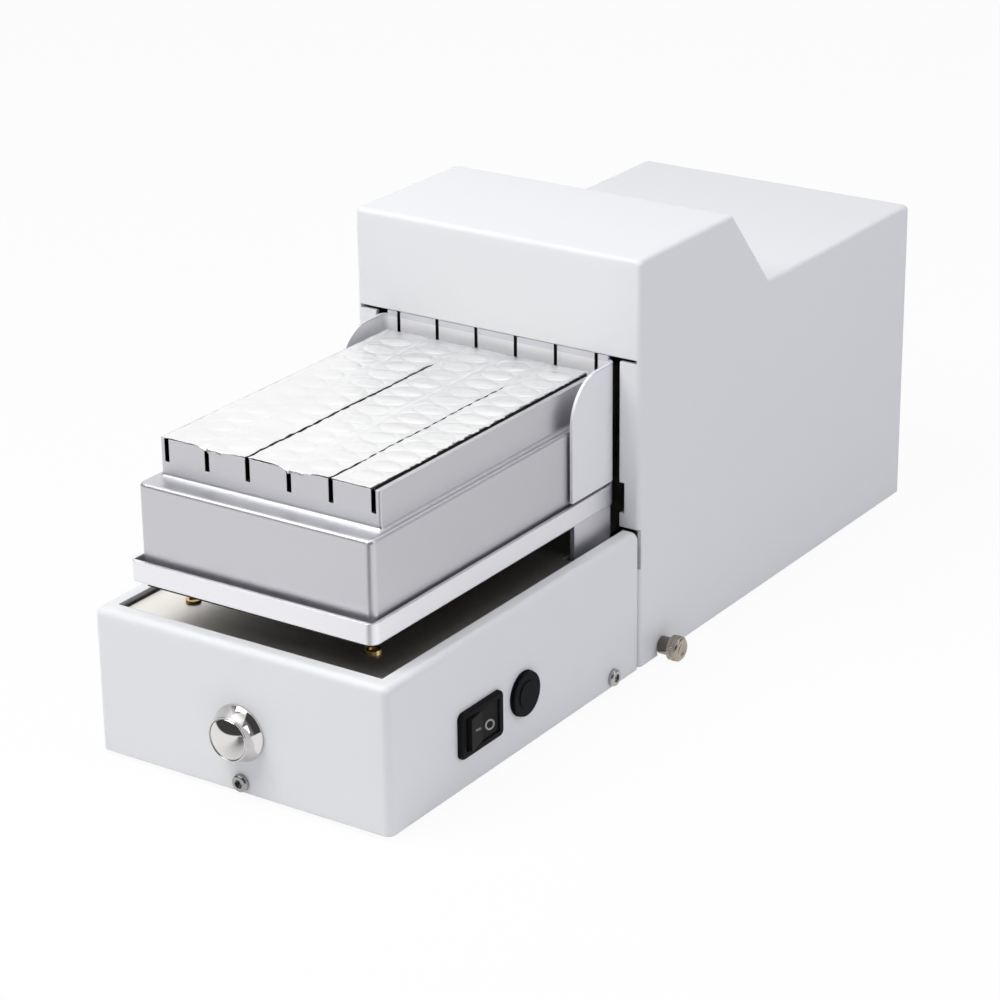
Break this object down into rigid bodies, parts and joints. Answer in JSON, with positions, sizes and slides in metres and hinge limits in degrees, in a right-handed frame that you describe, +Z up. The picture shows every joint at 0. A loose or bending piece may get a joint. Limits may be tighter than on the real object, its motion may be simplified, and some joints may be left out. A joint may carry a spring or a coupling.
{
  "type": "dry block foil slitter",
  "caption": "Bench heating block on a motor carriage that slides from an open base into a tall stepped housing, where round knives slit the foil over reagent strips.",
  "frame": {"origin": "middle of the bounding box, on the surface the feet stand on", "axes": "+X to the right seen from the front, +Y from the push button towards the power inlet, +Z up"},
  "size_m": [0.1236, 0.3254, 0.1379],
  "materials": {
    "white_coat": "white powder coat, fine satin texture",
    "plate_coat": "plain grey coat",
    "block_aluminium": "fine satin, milled",
    "tray_aluminium": "satin anodised",
    "deck_steel": "smooth, softly reflecting",
    "bright_steel": "ground",
    "blade_steel": "polished",
    "structure": "milled",
    "chrome_trim": "polished",
    "nickel": "nickel, knurled",
    "screw_steel": "bright",
    "brass": "plain",
    "black_plastic": "fine satin",
    "black_gloss": "smooth",
    "motor_black": "satin black",
    "bracket_aluminium": "brushed along its length",
    "insulation": "matt",
    "heater": "matt silicone",
    "black_rubber": "matt",
    "strip_plastic": "milky",
    "foil": "bright embossed foil",
    "board_green": "circuit board",
    "glass_fuse": "clear",
    "supply_case": "galvanised sheet"
  },
  "bodies": {
    "chassis": {"base_cover": "white_coat", "base_plate": "plate_coat", "board_standoffs": "bright_steel", "button_bezel": "chrome_trim", "button_nut": "bright_steel", "button_switch": "black_plastic", "carriage_motor": "motor_black", "control_board": "board_green", "cover_screws": "screw_steel", "deck_plate": "deck_steel", "deck_posts": "bright_steel", "deck_screws": "brass", "front_bulkhead": "structure", "fuse_cartridge": "glass_fuse", "fuse_holder": "black_plastic", "guide_rods": "bright_steel", "knife_bearings": "bright_steel", "knife_belt": "black_rubber", "knife_motor": "motor_black", "limit_switches": "black_plastic", "motor_posts": "bright_steel", "power_inlet": "black_plastic", "power_supply": "supply_case", "rear_bulkhead": "structure", "rear_cover": "white_coat", "rear_panel": "white_coat", "rocker_frame": "black_plastic", "rubber_feet": "black_rubber", "screw_bearing": "bright_steel", "side_frame_left": "structure", "side_frame_right": "structure", "tie_bar": "structure"},
    "carriage": {"lead_nut": "brass", "nut_block": "structure", "bearing_blocks": "structure", "cross_plate": "structure", "carriage_bracket_left": "bracket_aluminium", "carriage_bracket_right": "bracket_aluminium", "tray": "tray_aluminium", "insulation_pad": "insulation", "heater_mat": "heater", "heat_block": "block_aluminium", "reagent_strips": "strip_plastic", "foil_left": "foil", "foil_middle": "foil", "foil_right": "foil", "fence": "white_coat", "temperature_probe": "bright_steel"},
    "drive_screw": {"lead_screw": "bright_steel"},
    "knife_arbor": {"knife_shaft": "bright_steel", "slitting_knives": "blade_steel", "knife_spacers": "structure", "knife_pulley": "structure"},
    "motor_shaft": {"motor_pulley": "structure"},
    "button": {"button_cap": "chrome_trim"},
    "rocker": {"rocker": "black_gloss"},
    "fuse_cap": {"fuse_cap": "black_gloss"},
    "thumbscrew_left": {"thumbscrew_left": "nickel"},
    "thumbscrew_right": {"thumbscrew_right": "nickel"}
  },
  "joints": [
    {"name": "carriage_slide", "type": "slide", "parent": "chassis", "child": "carriage", "axis": [0, 1, 0], "range_m": [0, 0.144]},
    {"name": "lead_screw_turn", "type": "hinge", "parent": "chassis", "child": "drive_screw", "pos_m": [0, -0.05885, 0.0275], "axis": [0, 1, 0], "range_deg": [-10, 6490]},
    {"name": "knife_shaft_turn", "type": "hinge", "parent": "chassis", "child": "knife_arbor", "pos_m": [0, 0.00315, 0.114], "axis": [1, 0, 0], "continuous": true},
    {"name": "motor_pulley_turn", "type": "hinge", "parent": "chassis", "child": "motor_shaft", "pos_m": [0.0431, 0.03515, 0.1185], "axis": [1, 0, 0], "continuous": true},
    {"name": "start_button", "type": "slide", "parent": "chassis", "child": "button", "axis": [0, 1, 0], "range_m": [0, 0.0018], "stiffness_N_per_m": 300},
    {"name": "power_rocker", "type": "hinge", "parent": "chassis", "child": "rocker", "pos_m": [0.052, -0.10925, 0.0193], "axis": [0, 0, 1], "range_deg": [-12, 0]},
    {"name": "fuse_cap_turn", "type": "hinge", "parent": "chassis", "child": "fuse_cap", "pos_m": [0.054, -0.08535, 0.0199], "axis": [1, 0, 0], "range_deg": [0, 60]},
    {"name": "thumbscrew_left_turn", "type": "hinge", "parent": "chassis", "child": "thumbscrew_left", "pos_m": [-0.054, -0.00485, 0.0048], "axis": [-1, 0, 0], "range_deg": [0, 1440]},
    {"name": "thumbscrew_right_turn", "type": "hinge", "parent": "chassis", "child": "thumbscrew_right", "pos_m": [0.054, -0.00485, 0.0048], "axis": [1, 0, 0], "range_deg": [0, 1440]}
  ],
  "couplings": [
    {"joint": "lead_screw_turn", "follows": "carriage_slide", "rad_per_m": 785.4},
    {"joint": "motor_pulley_turn", "follows": "knife_shaft_turn", "ratio": 1}
  ]
}
